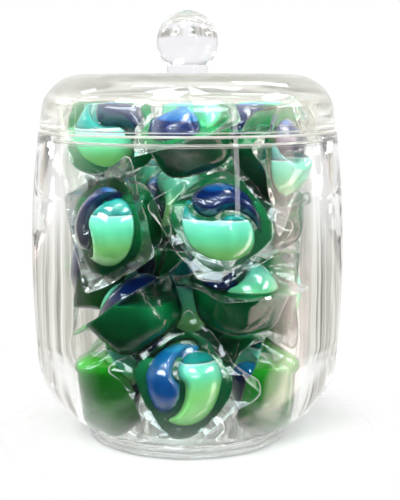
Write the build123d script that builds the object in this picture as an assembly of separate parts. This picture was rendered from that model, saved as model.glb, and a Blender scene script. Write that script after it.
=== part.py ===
from build123d import *
import math
import os

import numpy as np

# Acrylic storage jar with a lift-off lid, filled with sealed washing pods.
# Millimetres, +Z up, origin on the table under the middle of the jar.

# Jar body. The belly is the widest place, and the other radii keep their distance to it.
jar_height = 144.5
belly_radius = 73.2
belly_height = 82.0
rim_inset = 3.8
hip_inset = 1.7
hip_height = 43.0
heel_bulge_inset = 9.6
heel_bulge_height = 18.5
waist_inset = 24.6
foot_inset = 26.7
foot_height = 7.0
foot_bead_count = 3
foot_bead_radius = 1.1
foot_rim_width = 7.0
underside_recess = 2.5
rim_round = 1.0

# Hollow of the jar
floor_height = 9.0
heel_height = 40.0
heel_width = 20.2
wall_low = 12.3
wall_high = 8.4
lip_width = 4.4
shelf_depth = 4.6

# Lid
lid_height = 25.6
lid_gap = 0.9
lid_overhang = 0.6
lid_draft = 1.2
lid_shoulder_height = 10.5
lid_corner_inset = 7.0
lid_corner_height = 20.8
lid_shoulder_width = 17.1
lid_wall = 5.2
lid_top_thickness = 5.4
lid_edge_round = 0.8
plug_wall = 4.0
plug_clearance = 0.35
seat_clearance = 0.3

# Knob
ball_radius = 14.1
neck_radius = 9.5
neck_height = 4.5
ball_rise = 15.3
spigot_radius = 5.0
spigot_length = 3.0
bond_gap = 0.1

# Pods, at the size that gives each of them pod_room of the jar's hollow, a cube's side
pouch_side = 39.2
pouch_corner = 12.7
pouch_depth = 20.6
pouch_draft = 12.0
pouch_round = 8.8
film_side = 41.2
film_corner = 6.9
film_thickness = 0.6
swirl_radius = 17.6
swirl_height = 9.8
large_head_radius = 10.0
swirl_gap = 1.8
pod_clearance = 0.3
pod_room = 41.5
head_space = 6.5

# Places of the pods that show from the front, for the middle of each pod: turn round the jar
# from the front, height as a share of the heap, distance from the axis as a share of the
# hollow's radius, turn of its swirl side away from straight outward, tilt of that side above
# the horizontal, and spin of the swirl. Angles in degrees.
front_pods = [
    (-16, 0.81, 0.68, 0, 50, -80),
    (-46, 0.6, 0.71, 0, 5, 190),
    (20, 0.6, 0.71, 0, 30, 140),
    (60, 0.81, 0.71, -10, 25, 130),
    (-88, 0.86, 0.69, 180, 45, 0),
    (-86, 0.41, 0.68, 10, 40, 50),
    (-35, 0.3, 0.61, 0, 76, 20),
    (44, 0.31, 0.61, 0, 84, 200),
    (-86, 0.1, 0.61, 180, 35, 0),
    (12, 0.05, 0.56, 0, 32, -150),
    (-10, 0.38, 0.07, 0, 25, 60),
    (86, 0.57, 0.68, 0, 70, 30),
    (86, 0.22, 0.64, 0, 10, 90),
    (86, 0.04, 0.57, 180, 35, 0),
    (-112, 0.62, 0.68, 180, -10, 0),
    (100, 0.86, 0.6, 180, 40, 0),
]

# The pods behind them lie in rows at the back, and one lies on top in the middle.
back_rows = [0.15, 0.45, 0.75]
back_turns = [145, 215]
back_reach = 0.65
top_pod = (180, 0.93, 0.1, 0, 80, 40)

# Settling of the heap, with lengths as shares of a pod's side and turns in radians
grow_steps = 300
settle_steps = 1400
rest_steps = 400
start_scale = 0.6
shake_every = 25
shake_step = 0.035
shake_turn = 0.12
shake_kept = 0.12
sink_step = 0.0025
rest_sink = 0.0004
hold_steps = 800
home_pull = 0.12
face_pull = 0.3
touch_depth = 0.035
turn_arm = 0.5
longest_push = 0.05
push_share = 0.6
wall_share = 0.8
heel_lift = 0.4
upper_share = 0.35
shake_seed = 3

rim_radius = belly_radius - rim_inset
hip_radius = belly_radius - hip_inset
heel_bulge_radius = belly_radius - heel_bulge_inset
waist_radius = belly_radius - waist_inset
foot_radius = belly_radius - foot_inset
cavity_radius_low = hip_radius - wall_low
cavity_radius_high = rim_radius - wall_high
lip_radius = rim_radius - lip_width
floor_radius = cavity_radius_low - heel_width
heel_top = floor_height + heel_height
shelf_height = jar_height - shelf_depth
lid_edge_radius = rim_radius - lid_overhang
lid_shoulder_radius = lid_edge_radius - lid_draft
lid_corner_radius = lid_shoulder_radius - lid_corner_inset
lid_top_radius = lid_shoulder_radius - lid_shoulder_width
lid_edge_height = jar_height + lid_gap
lid_top_height = jar_height + lid_height
lid_inside_height = lid_top_height - lid_top_thickness
plug_radius = lip_radius - plug_clearance
plug_inner_radius = plug_radius - plug_wall
plug_bottom = shelf_height + seat_clearance
heap_top = lid_inside_height - head_space


def revolved(points_to_face):
    """A face in the XZ plane, turned once round the Z axis."""
    return revolve(Plane.XZ * points_to_face, Axis.Z)


def jar_outline():
    """Half section of the jar body: barrel side, thick floor, foot and rebated rim."""
    foot_inner = foot_radius - foot_rim_width
    side = [
        Line((foot_radius, 0), (foot_radius, foot_height)),
        Line((foot_radius, foot_height), (waist_radius, foot_height)),
        ThreePointArc(
            (waist_radius, foot_height),
            (heel_bulge_radius, heel_bulge_height),
            (hip_radius, hip_height),
        ),
        ThreePointArc(
            (hip_radius, hip_height),
            (belly_radius, belly_height),
            (rim_radius, jar_height),
        ),
        Line((rim_radius, jar_height), (lip_radius, jar_height)),
        Line((lip_radius, jar_height), (lip_radius, shelf_height)),
        Line((lip_radius, shelf_height), (cavity_radius_high, shelf_height)),
    ]
    hollow = [
        Line((cavity_radius_high, shelf_height), (cavity_radius_low, heel_top)),
        EllipticalCenterArc(
            (floor_radius, heel_top),
            heel_width,
            heel_height,
            start_angle=270,
            arc_size=90,
        ),
        Line((floor_radius, floor_height), (0, floor_height)),
    ]
    underside = [
        Line((0, floor_height), (0, underside_recess)),
        Line((0, underside_recess), (foot_inner, underside_recess)),
        Line((foot_inner, underside_recess), (foot_inner, 0)),
        Line((foot_inner, 0), (foot_radius, 0)),
    ]
    return make_face(side + hollow + underside)


def make_jar_body():
    body = revolved(jar_outline())
    rim_edges = body.edges().filter_by(GeomType.CIRCLE).group_by(Axis.Z)[-1]
    body = fillet(rim_edges, rim_round)
    bead_pitch = foot_height / foot_bead_count
    for index in range(foot_bead_count):
        height = (index + 0.5) * bead_pitch
        body += revolved(Pos(foot_radius, height) * Circle(foot_bead_radius))
    return body


def lid_outline():
    """Half section of the lid: tapered side, round shoulder, flat top and plug."""
    inside_corner = lid_top_radius - lid_wall
    outside = [
        Line((plug_radius, lid_edge_height), (lid_edge_radius, lid_edge_height)),
        Line(
            (lid_edge_radius, lid_edge_height),
            (lid_shoulder_radius, lid_edge_height + lid_shoulder_height),
        ),
        ThreePointArc(
            (lid_shoulder_radius, lid_edge_height + lid_shoulder_height),
            (lid_corner_radius, lid_edge_height + lid_corner_height),
            (lid_top_radius, lid_top_height),
        ),
        Line((lid_top_radius, lid_top_height), (0, lid_top_height)),
    ]
    shoulder_inside = lid_shoulder_radius - lid_wall
    corner_rise = lid_inside_height - lid_shoulder_height - lid_edge_height
    inside = [
        Line((0, lid_top_height), (0, lid_inside_height)),
        Line((0, lid_inside_height), (inside_corner, lid_inside_height)),
        EllipticalCenterArc(
            (inside_corner, lid_inside_height - corner_rise),
            shoulder_inside - inside_corner,
            corner_rise,
            start_angle=0,
            arc_size=90,
        ),
        Line(
            (shoulder_inside, lid_inside_height - corner_rise),
            (plug_inner_radius, lid_edge_height),
        ),
        Line((plug_inner_radius, lid_edge_height), (plug_inner_radius, plug_bottom)),
        Line((plug_inner_radius, plug_bottom), (plug_radius, plug_bottom)),
        Line((plug_radius, plug_bottom), (plug_radius, lid_edge_height)),
    ]
    return make_face(outside + inside)


def make_lid():
    lid = revolved(lid_outline())
    outer_edge = lid.edges().filter_by(GeomType.CIRCLE).filter_by_position(
        Axis.Z, lid_edge_height - bond_gap, lid_edge_height + bond_gap
    ).sort_by(SortBy.RADIUS)[-1]
    lid = fillet(outer_edge, lid_edge_round)
    socket = Cylinder(
        spigot_radius + bond_gap,
        spigot_length + bond_gap,
        align=(Align.CENTER, Align.CENTER, Align.MAX),
    )
    return lid - Pos(0, 0, lid_top_height) * socket


def make_knob():
    """Ball on a short neck, turned in one piece, with a spigot bonded into the lid."""
    base = (Align.CENTER, Align.CENTER, Align.MIN)
    neck = Cylinder(neck_radius, neck_height, align=base)
    spigot = Pos(0, 0, -spigot_length) * Cylinder(spigot_radius, spigot_length, align=base)
    ball = Pos(0, 0, ball_rise) * Sphere(ball_radius)
    return Pos(0, 0, lid_top_height) * (neck + spigot + ball)


def swirl_lobes():
    """The two comma-shaped chambers on top of a pod, cut from one low dome."""
    small_head_radius = swirl_radius - large_head_radius
    disc = Circle(swirl_radius)
    half = disc & Pos(swirl_radius, 0) * Rectangle(2 * swirl_radius, 2 * swirl_radius)
    large_head = Pos(0, swirl_radius - large_head_radius) * Circle(large_head_radius)
    small_head = Pos(0, small_head_radius - swirl_radius) * Circle(small_head_radius)
    large = half + large_head - small_head
    dome_radius = (swirl_radius**2 + swirl_height**2) / (2 * swirl_height)
    dome = Pos(0, 0, swirl_height - dome_radius) * Sphere(dome_radius)
    lobes = []
    for comma in (large, disc - large):
        inset = offset(comma, -swirl_gap / 2, kind=Kind.INTERSECTION)
        lobes.append(extrude(inset, swirl_height) & dome)
    return lobes


def pod_size():
    """Size of the pods in this jar, as a share of their named size."""
    hollow = math.pi * cavity_radius_low**2 * (heap_top - floor_height)
    pod_count = len(front_pods) + len(back_rows) * len(back_turns) + len([top_pod])
    return (hollow / pod_count) ** (1 / 3) / pod_room


def make_pod():
    """Sealed pod: deep pouch, thin sealed edge of film, and two swirl chambers."""
    pouch = extrude(
        RectangleRounded(pouch_side, pouch_side, pouch_corner),
        -pouch_depth,
        taper=pouch_draft,
    )
    pouch = fillet(pouch.edges().group_by(Axis.Z)[0], pouch_round)
    film = extrude(
        RectangleRounded(film_side, film_side, film_corner), film_thickness / 2, both=True
    )
    pod = pouch + film
    for lobe in swirl_lobes():
        pod += lobe
    return scale(pod, pod_size())


def cavity_radius(height):
    """Radius of the free space inside the jar, and inside the lid's plug, at each height."""
    below = np.clip((heel_top - height) / heel_height, 0.0, 0.999)
    heel = floor_radius + heel_width * np.sqrt(1 - below**2)
    share = np.clip((height - heel_top) / (shelf_height - heel_top), 0.0, 1.0)
    wall = cavity_radius_low + (cavity_radius_high - cavity_radius_low) * share
    wall = np.minimum(wall, plug_inner_radius)
    return np.where(height < heel_top, heel, wall)


def pouch_levels():
    """Depth, half width and corner radius of tangent rings round the tapered, filleted pouch."""
    draft = math.radians(pouch_draft)
    fillet_depth = pouch_depth - pouch_round
    fillet_inset = fillet_depth * math.tan(draft) + pouch_round / math.cos(draft)
    half_step = (math.pi / 2 - draft) / 4
    outer = pouch_round / math.cos(half_step)
    levels = []
    for steps in (3, 1):
        angle = draft + steps * half_step
        half = pouch_side / 2 - fillet_inset + outer * math.cos(angle)
        corner = max(pouch_corner - (pouch_side / 2 - half), 0.0)
        levels.append((-fillet_depth - outer * math.sin(angle), half, corner))
    return levels


def swirl_levels():
    """Height, half width and corner radius of tangent rings round the swirl's dome."""
    dome_radius = (swirl_radius**2 + swirl_height**2) / (2 * swirl_height)
    half_step = math.pi / 12
    outer = dome_radius / math.cos(half_step)
    levels = []
    for steps in (3, 5):
        half = outer * math.cos(steps * half_step)
        height = outer * math.sin(steps * half_step) + swirl_height - dome_radius
        levels.append((height, half, half))
    return levels


def pod_envelope():
    """Corners and face directions of a faceted body that just holds one pod."""
    film = [(sign * film_thickness / 2, film_side / 2, film_corner) for sign in (-1, 1)]
    rings = []
    for height, reach, corner in pouch_levels() + film + swirl_levels():
        near = reach - corner * (2 - math.sqrt(2))
        ring = []
        for x, y in ((reach, near), (near, reach)):
            ring += [(x, y), (-y, x), (-x, -y), (y, -x)]
        ring.sort(key=lambda corner: math.atan2(corner[1], corner[0]))
        rings.append(np.array([(x, y, height) for x, y in ring]))
    normals = [(1, 0, 0), (-1, 0, 0), (0, 1, 0), (0, -1, 0), (0, 0, 1), (0, 0, -1)]
    for lower, upper in zip(rings, rings[1:]):
        for corner in range(8):
            along = lower[(corner + 1) % 8] - lower[corner]
            normal = np.cross(along, upper[corner] - lower[corner])
            normals.append(normal / np.linalg.norm(normal))
    corners = np.concatenate(rings)
    normals = np.array(normals, dtype=float)
    return corners, normals, (corners @ normals.T).max(axis=0)


def turned(vectors):
    """Rotation matrices for small turns, each about its own vector by its length."""
    angle = np.linalg.norm(vectors, axis=1)
    axis = vectors / np.maximum(angle, 1e-12)[:, None]
    cross = np.zeros((len(vectors), 3, 3))
    cross[:, 0, 1] = -axis[:, 2]
    cross[:, 0, 2] = axis[:, 1]
    cross[:, 1, 2] = -axis[:, 0]
    cross -= cross.transpose(0, 2, 1)
    sine = np.sin(angle)[:, None, None]
    cosine = np.cos(angle)[:, None, None]
    return np.eye(3) + sine * cross + (1 - cosine) * (cross @ cross)


def first_place(turn, height, reach, face_turn, face_lift, spin):
    """Middle of a pod and its three directions, before the heap settles."""
    turn = math.radians(turn)
    outward = np.array([math.sin(turn), -math.cos(turn), 0.0])
    sideways = np.array([math.cos(turn), math.sin(turn), 0.0])
    upward = np.array([0.0, 0.0, 1.0])
    face_turn = math.radians(face_turn)
    level = outward * math.cos(face_turn) + sideways * math.sin(face_turn)
    lift = math.radians(face_lift)
    normal = level * math.cos(lift) + upward * math.sin(lift)
    top = upward * math.cos(lift) - level * math.sin(lift)
    spin = math.radians(spin)
    x_dir = top * math.cos(spin) + np.cross(normal, top) * math.sin(spin)
    rise = floor_height + height * (heap_top - floor_height)
    middle = outward * reach * cavity_radius_low + upward * rise
    return middle, np.column_stack([x_dir, np.cross(normal, x_dir), normal])


def starting_heap():
    """First places of all pods, and which of them keep close to their place."""
    rows = list(front_pods)
    for row, height in enumerate(back_rows):
        for column, turn in enumerate(back_turns):
            face_turn = (0, 180, 40)[(row + column) % 3]
            face_lift = (10, 40, -20, 70)[(2 * row + column) % 4]
            spin = 77 * row + 60 * column
            stagger = 15 if row % 2 else -8
            rows.append((turn + stagger, height, back_reach, face_turn, face_lift, spin))
    rows.append(top_pod)
    places = [first_place(*row) for row in rows]
    middles = np.array([place[0] for place in places])
    turns = np.array([place[1] for place in places])
    kept = np.zeros(len(rows))
    kept[: len(front_pods)] = 1.0
    return middles, turns, kept


class Pushes:
    """Adds up how far each pod is pushed and turned in one step."""

    def __init__(self, middles, side):
        self.middles = middles
        self.side = side
        self.move = np.zeros_like(middles)
        self.turn = np.zeros_like(middles)

    def add(self, pods, points, pushes, share):
        np.add.at(self.move, pods, pushes * share)
        arms = points - self.middles[pods]
        twist = np.cross(arms, pushes) * push_share / (turn_arm * self.side) ** 2
        np.add.at(self.turn, pods, twist)

    def touch_points(self, corners, heights):
        """Middle of the corners that lie deepest, for each row of heights."""
        near = touch_depth * self.side - (heights - heights.min(axis=1, keepdims=True))
        weight = np.clip(near, 0.0, None)
        weight /= weight.sum(axis=1, keepdims=True)
        return (corners * weight[..., None]).sum(axis=1)


def push_apart(pushes, corners, middles, turns, scale, envelope):
    """Pushes each pair of pods apart along the face where they overlap least."""
    _, normals, reach = envelope
    count = len(middles)
    gaps = np.linalg.norm(middles[:, None] - middles[None], axis=2)
    first, second = np.nonzero((gaps < 1.5 * pushes.side * scale) & (gaps > 0))
    local = np.einsum("pki,pij->pkj", corners[first] - middles[second][:, None], turns[second])
    heights = local @ normals.T
    overlap = scale * reach[None] - heights.min(axis=1) + pod_clearance
    face = overlap.argmin(axis=1)
    least = overlap[np.arange(len(face)), face]
    table = np.full((count, count), np.inf)
    table[first, second] = least
    other = table[second, first]
    pairs = np.nonzero((least > 0) & (least <= other) & (other > 0))[0]
    if not len(pairs):
        return
    first, second, face = first[pairs], second[pairs], face[pairs]
    normal = np.einsum("pij,pj->pi", turns[second], normals[face])
    points = pushes.touch_points(corners[first], heights[pairs, :, face])
    push = normal * np.minimum(least[pairs], longest_push * pushes.side)[:, None]
    share = 0.5 + upper_share * normal[:, 2:]
    pushes.add(first, points, push * share, push_share)
    pushes.add(second, points, push * (share - 1), push_share)


def push_inside(pushes, corners):
    """Pushes pods off the wall, off the floor and down from the lid."""
    radius = np.hypot(corners[..., 0], corners[..., 1])
    height = corners[..., 2]
    over = radius - (cavity_radius(height) - pod_clearance)
    deepest = over.argmax(axis=1)
    pods = np.nonzero(over.max(axis=1) > 0)[0]
    points = corners[pods, deepest[pods]]
    inward = -points / radius[pods, deepest[pods]][:, None]
    inward[:, 2] = np.where(points[:, 2] < heel_top, heel_lift, 0.0)
    pushes.add(pods, points, inward * over.max(axis=1)[pods][:, None], wall_share)
    for sign, level in ((1, floor_height + pod_clearance), (-1, -heap_top)):
        depth = level - (sign * height).min(axis=1)
        pods = np.nonzero(depth > 0)[0]
        points = pushes.touch_points(corners[pods], sign * height[pods])
        push = np.zeros((len(pods), 3))
        push[:, 2] = sign * depth[pods]
        pushes.add(pods, points, push, 1.0)


def settled_heap():
    """Lets the pods grow, shake and sink until they lie close without touching."""
    middles, turns, kept = starting_heap()
    home, home_turns = middles.copy(), turns.copy()
    corners, normals, reach = pod_envelope()
    envelope = (corners * pod_size(), normals, reach * pod_size())
    side = film_side * pod_size()
    shaker = np.random.default_rng(shake_seed)
    for step in range(settle_steps + rest_steps):
        scale = min(1.0, start_scale + (1 - start_scale) * step / grow_steps)
        fade = max(0.0, 1 - step / settle_steps)
        hold = max(0.0, 1 - step / hold_steps)
        if fade > 0:
            middles[:, 2] -= sink_step * side * (1 - kept)
            middles += (home - middles) * (home_pull * hold * kept)[:, None]
            back = np.einsum("nij,nkj->nik", home_turns, turns)
            off = np.stack(
                [
                    back[:, 2, 1] - back[:, 1, 2],
                    back[:, 0, 2] - back[:, 2, 0],
                    back[:, 1, 0] - back[:, 0, 1],
                ],
                axis=1,
            )
            turns = turned(0.5 * off * (face_pull * hold * kept)[:, None]) @ turns
            if step % shake_every == 0:
                loose = fade * (1 - (1 - shake_kept) * kept)[:, None]
                middles += shaker.normal(size=middles.shape) * loose * shake_step * side
                turns = turned(shaker.normal(size=middles.shape) * loose * shake_turn) @ turns
        else:
            middles[:, 2] -= rest_sink * side
        corners = np.einsum("nij,kj->nki", turns, envelope[0]) * scale + middles[:, None]
        pushes = Pushes(middles, side)
        push_apart(pushes, corners, middles, turns, scale, envelope)
        push_inside(pushes, corners)
        middles = middles + pushes.move
        turns = turned(pushes.turn) @ turns
    return middles, turns


def main():
    os.makedirs("parts", exist_ok=True)
    nodes = {"jar_body": make_jar_body(), "lid": make_lid(), "knob": make_knob()}
    pod = make_pod()
    for index, (middle, turn) in enumerate(zip(*settled_heap()), start=1):
        place = Plane(origin=tuple(middle), x_dir=tuple(turn[:, 0]), z_dir=tuple(turn[:, 2]))
        nodes[f"pod_{index:02d}"] = place.location * pod
    for name, part in nodes.items():
        export_step(part, f"parts/{name}.step")


main()
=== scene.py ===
# %% [markdown]
# Clear acrylic jar of washing pods
#
# The CAD model gives the true size and place of every piece: the jar body, the lid, the knob
# and each pod. This script loads it as a fixed frame and dresses it. The jar is clear, so the
# finish of the acrylic and the bright liquids behind it make the whole picture. The work runs
# from the outside in: camera and light, then the acrylic, then one pod in detail, then the
# heap.

# %% Load the frame
import math

import bmesh
import bpy
import numpy as np
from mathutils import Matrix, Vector
from mathutils.bvhtree import BVHTree
from mathutils.geometry import delaunay_2d_cdt


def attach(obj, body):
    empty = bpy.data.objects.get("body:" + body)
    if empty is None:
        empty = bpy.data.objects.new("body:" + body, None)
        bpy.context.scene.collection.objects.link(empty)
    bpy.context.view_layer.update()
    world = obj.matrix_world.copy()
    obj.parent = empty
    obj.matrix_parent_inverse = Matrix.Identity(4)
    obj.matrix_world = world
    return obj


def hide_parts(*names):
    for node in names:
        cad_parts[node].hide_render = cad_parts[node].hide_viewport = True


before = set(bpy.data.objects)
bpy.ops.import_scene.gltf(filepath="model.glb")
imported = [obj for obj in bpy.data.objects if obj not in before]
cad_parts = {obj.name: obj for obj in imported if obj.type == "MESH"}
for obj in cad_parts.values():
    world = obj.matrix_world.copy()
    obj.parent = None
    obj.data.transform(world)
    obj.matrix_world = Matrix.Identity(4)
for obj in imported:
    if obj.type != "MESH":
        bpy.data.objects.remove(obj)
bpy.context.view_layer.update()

MM = 0.001
pod_nodes = sorted(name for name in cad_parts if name.startswith("pod_"))

# %% [markdown]
# A colour is written as an sRGB hex value, the way a painter reads it off a sample. Blender
# works in linear light, so one function converts it. Every node tree is built from script with
# one small helper. It adds a node, sets its properties, and gives each input a plain value, a
# hex colour, a socket or another node, of which it takes the first output.

# %% Colour and node helpers
def linear(hex_colour):
    """Linear RGBA from an sRGB hex value such as '#0d5a3a'."""
    values = [int(hex_colour[i : i + 2], 16) / 255 for i in (1, 3, 5)]
    return tuple(v / 12.92 if v <= 0.04045 else ((v + 0.055) / 1.055) ** 2.4 for v in values) + (1.0,)


def add_node(tree, kind, settings=None, **inputs):
    """Adds a node. An input is named, or i0, i1 and so on where several share a name."""
    node = tree.nodes.new(kind)
    settings = dict(settings or {})
    stops = settings.pop("stops", [])
    for name, value in settings.items():
        setattr(node, name, value)
    while stops and len(node.color_ramp.elements) < len(stops):
        node.color_ramp.elements.new(0.5)
    for element, (at, colour) in zip(node.color_ramp.elements if stops else [], stops):
        element.position = at
        element.color = linear(colour)
    for name, value in inputs.items():
        if name[0] == "i" and name[1:].isdigit():
            socket = node.inputs[int(name[1:])]
        else:
            wanted = name.replace("_", " ")
            socket = next(item for item in node.inputs if item.enabled and item.name == wanted)
        if isinstance(value, bpy.types.Node):
            value = next(item for item in value.outputs if item.enabled)
        if isinstance(value, bpy.types.NodeSocket):
            tree.links.new(value, socket)
        else:
            socket.default_value = linear(value) if isinstance(value, str) else value
    return node


def new_material(name):
    """An empty material with its node tree."""
    material = bpy.data.materials.new(name)
    material.use_nodes = True
    material.node_tree.nodes.clear()
    return material, material.node_tree


print("mid grey in linear light", round(linear("#808080")[0], 3))

# %% [markdown]
# The camera stands about half a metre in front of the jar and looks down on it a little. The
# jar sits slightly left of the middle of the picture, which is a small sideways shift of the
# lens and not a turn, so the jar's axis stays upright.

# %% Camera
camera_distance = 504.9 * MM
camera_height = 163.7 * MM
camera_pitch = math.radians(8.57)
camera_lens = 77.1
camera_sensor = 36.0
camera_shift = 0.0252

camera_data = bpy.data.cameras.new("camera")
camera_data.lens = camera_lens
camera_data.sensor_width = camera_sensor
camera_data.shift_x = camera_shift
camera = bpy.data.objects.new("camera", camera_data)
camera.location = (0.0, -camera_distance, camera_height)
camera.rotation_euler = (math.pi / 2 - camera_pitch, 0.0, 0.0)
bpy.context.collection.objects.link(camera)
bpy.context.scene.camera = camera
bpy.context.scene.view_settings.view_transform = "Standard"
print("camera sees", round(math.degrees(camera_data.angle), 1), "degrees")

# %% [markdown]
# Clear things are drawn by what they bend and mirror, so the room around them matters more than
# the lamps. The camera itself sees plain white. Rays that were bent or mirrored see a room that
# is painted over their directions: by height, the sine of the angle above the horizon, and by
# the angle in radians from straight behind the jar. Each patch of paint is a zone with soft
# edges. A zone is the product of smooth steps, and one helper makes it.

# %% Directions and zones
MULTIPLY = {"operation": "MULTIPLY"}
COLOURS = {"data_type": "RGBA"}


def zone(tree, *limits):
    """Share of a zone. Each limit is a value, where it puts the share at 0 and where at 1."""
    share = 1.0
    for value, out_at, full_at in limits:
        step = add_node(
            tree,
            "ShaderNodeMapRange",
            {"interpolation_type": "SMOOTHSTEP"},
            Value=value,
            From_Min=min(out_at, full_at),
            From_Max=max(out_at, full_at),
            To_Min=0.0 if out_at < full_at else 1.0,
            To_Max=1.0 if out_at < full_at else 0.0,
        )
        share = add_node(tree, "ShaderNodeMath", MULTIPLY, i0=share, i1=step)
    return share


world = bpy.data.worlds.new("studio")
bpy.context.scene.world = world
world.use_nodes = True
room = world.node_tree
room.nodes.clear()
axes = add_node(room, "ShaderNodeSeparateXYZ", i0=add_node(room, "ShaderNodeTexCoord").outputs["Generated"])
height = axes.outputs["Z"]
angle = add_node(room, "ShaderNodeMath", {"operation": "ARCTAN2"}, i0=axes.outputs["X"], i1=axes.outputs["Y"])
from_back = add_node(room, "ShaderNodeMath", {"operation": "ABSOLUTE"}, i0=angle)
print("room directions", len(room.nodes), "nodes")

# %% [markdown]
# Behind the jar the low room is white with streaks of cream and grey, which the thick wall
# bends into upright streaks, as in any thick clear jar. In front it is dark, because whatever
# is bright there lies as a grey veil over the jar and over the film of the pods.

# %% The room below the horizon
cream_grey = [(0.34, "#6f6e6b"), (0.44, "#a9a6a0"), (0.52, "#dfdcd5"), (0.64, "#fbf9f4")]
streaks = add_node(
    room, "ShaderNodeTexNoise", {"noise_dimensions": "1D"}, W=angle, Scale=4.6, Detail=3.0, Roughness=0.66
)
streak_colour = add_node(room, "ShaderNodeValToRGB", {"stops": cream_grey}, i0=streaks)
streaked = zone(room, (height, -0.04, -0.14), (height, -0.36, -0.24), (from_back, 0.06, 0.14))
low_back = add_node(room, "ShaderNodeMix", COLOURS, Factor=streaked, A="#ffffff", B=streak_colour)
low_front = zone(room, (from_back, 1.3, 1.8))
low_room = add_node(room, "ShaderNodeMix", COLOURS, Factor=low_front, A=low_back, B="#1e2124")
print("streaks in", len(cream_grey), "tones")

# %% [markdown]
# Above the horizon the room goes from white behind the jar over cream to dark grey in front,
# and the ceiling is a middle grey, so that the lid and the knob get soft grey edges.

# %% The room above the horizon
wall_tones = [(0.35, "#ffffff"), (0.43, "#e6ddcf"), (0.55, "#8f8a82"), (0.7, "#4a4c50"), (1.0, "#2e3136")]
back_to_front = add_node(room, "ShaderNodeMath", {"operation": "DIVIDE"}, i0=from_back, i1=math.pi)
walls = add_node(room, "ShaderNodeValToRGB", {"stops": wall_tones}, i0=back_to_front)
ceiling = zone(room, (height, 0.45, 0.8))
high_room = add_node(room, "ShaderNodeMix", COLOURS, Factor=ceiling, A=walls, B="#6a6f76")
above = zone(room, (height, -0.06, 0.04))
room_colour = add_node(room, "ShaderNodeMix", COLOURS, Factor=above, A=low_room, B=high_room)
print("walls in", len(wall_tones), "tones")

# %% [markdown]
# Low on the right is a sunlit patch, which the jar mirrors as a warm milky stripe. High up in
# front are rows of small skylights, which break into the sharp glints on the wet-looking film.
# Two sine waves, one up and one round, make the rows: a pane shines where both are high.

# %% Sunlit patch and skylights
sun_strength = 4.5
pane_strength = 14.0
panes_upward, panes_round = 21.0, 5.0

sunlit = zone(room, (angle, 1.32, 1.5), (angle, 1.92, 1.74), (height, -0.06, -0.28))
ripples = []
for value, count in ((height, panes_upward), (angle, panes_round)):
    scaled = add_node(room, "ShaderNodeMath", MULTIPLY, i0=value, i1=count)
    ripples.append(add_node(room, "ShaderNodeMath", {"operation": "SINE"}, i0=scaled))
lit_panes = [(ripples[0], 0.2, 0.35), (ripples[1], 0.3, 0.45)]
panes = zone(room, *lit_panes, (height, 0.3, 0.34), (from_back, 0.9, 1.2))
print("room so far", len(room.nodes), "nodes")

# %% [markdown]
# The parts are added up. Matt surfaces get only a soft even fill from the world, so that the
# painted room doesn't tint them, and the camera gets white.

# %% The world
soft_fill = 0.36

lit_room = add_node(room, "ShaderNodeBackground", Color=room_colour, Strength=1.0)
for colour, share, strength in (("#ffe6e2", sunlit, sun_strength), ("#e8f6ff", panes, pane_strength)):
    power = add_node(room, "ShaderNodeMath", MULTIPLY, i0=share, i1=strength)
    light = add_node(room, "ShaderNodeBackground", Color=colour, Strength=power)
    lit_room = add_node(room, "ShaderNodeAddShader", i0=lit_room, i1=light)
fill = add_node(room, "ShaderNodeBackground", Color="#ffffff", Strength=soft_fill)
white = add_node(room, "ShaderNodeBackground", Color="#ffffff", Strength=1.0)
rays = add_node(room, "ShaderNodeLightPath").outputs
clear_rays = add_node(
    room,
    "ShaderNodeMath",
    {"operation": "MAXIMUM"},
    i0=rays["Is Glossy Ray"],
    i1=rays["Is Transmission Ray"],
)
unseen = add_node(room, "ShaderNodeMixShader", i0=clear_rays, i1=fill, i2=lit_room)
sky = add_node(room, "ShaderNodeMixShader", i0=rays["Is Camera Ray"], i1=unseen, i2=white)
add_node(room, "ShaderNodeOutputWorld", Surface=sky)
print("world", len(room.nodes), "nodes")

# %% [markdown]
# Light in the edge of a thick clear wall is mirrored to and fro dozens of times before it comes
# out. Blender stops after a few steps and paints black, so the limits go far up.

# %% How far light is followed
cycles = bpy.context.scene.cycles
cycles.max_bounces = 120
cycles.glossy_bounces = 110
cycles.transmission_bounces = 110
cycles.transparent_max_bounces = 64
print("light is followed through", cycles.max_bounces, "steps")

# %% [markdown]
# The lamps light the pods through the wall. A tall narrow panel on the right and small ones on
# the left, above and behind show as windows in the gloss. The large panel in front only fills
# the shadows, so nothing mirrors it, or it would lie as a pale sheet over the whole jar.

# %% Lamps
# Each row: name, place in metres, width, height, power in watts, whether gloss mirrors it.
soft_lamps = [
    ("window_right", (0.42, -0.62, 0.34), 0.05, 0.5, 0.5, True),
    ("sky_above", (-0.12, -0.3, 0.75), 0.2, 0.26, 2.4, True),
    ("window_left", (-0.42, -0.5, 0.62), 0.1, 0.22, 1.0, True),
    ("window_back", (0.3, 0.25, 0.7), 0.1, 0.3, 1.0, True),
    ("front_fill", (-0.1, -0.8, 0.5), 0.8, 0.6, 2.6, False),
]
jar_middle = Vector((0.0, 0.0, 0.08))

for name, place, width, length, power, mirrored in soft_lamps:
    panel = bpy.data.lights.new(name, "AREA")
    panel.shape = "RECTANGLE"
    panel.size, panel.size_y = width, length
    panel.energy = power
    lamp = bpy.data.objects.new(name, panel)
    lamp.location = place
    lamp.rotation_euler = (jar_middle - Vector(place)).to_track_quat("-Z", "Y").to_euler()
    lamp.visible_glossy = mirrored
    lamp.visible_transmission = mirrored
    bpy.context.collection.objects.link(lamp)
print("lamps", len(soft_lamps), "watts", round(sum(row[4] for row in soft_lamps), 1))

# %% [markdown]
# The floor is a plain pale sheet. Near the jar it is matt paint that catches the soft shadow,
# and further out it fades away into the white of the room, so that it has no visible far edge.
# The paint lets a little of the white through everywhere, as a lit studio table does.

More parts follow.
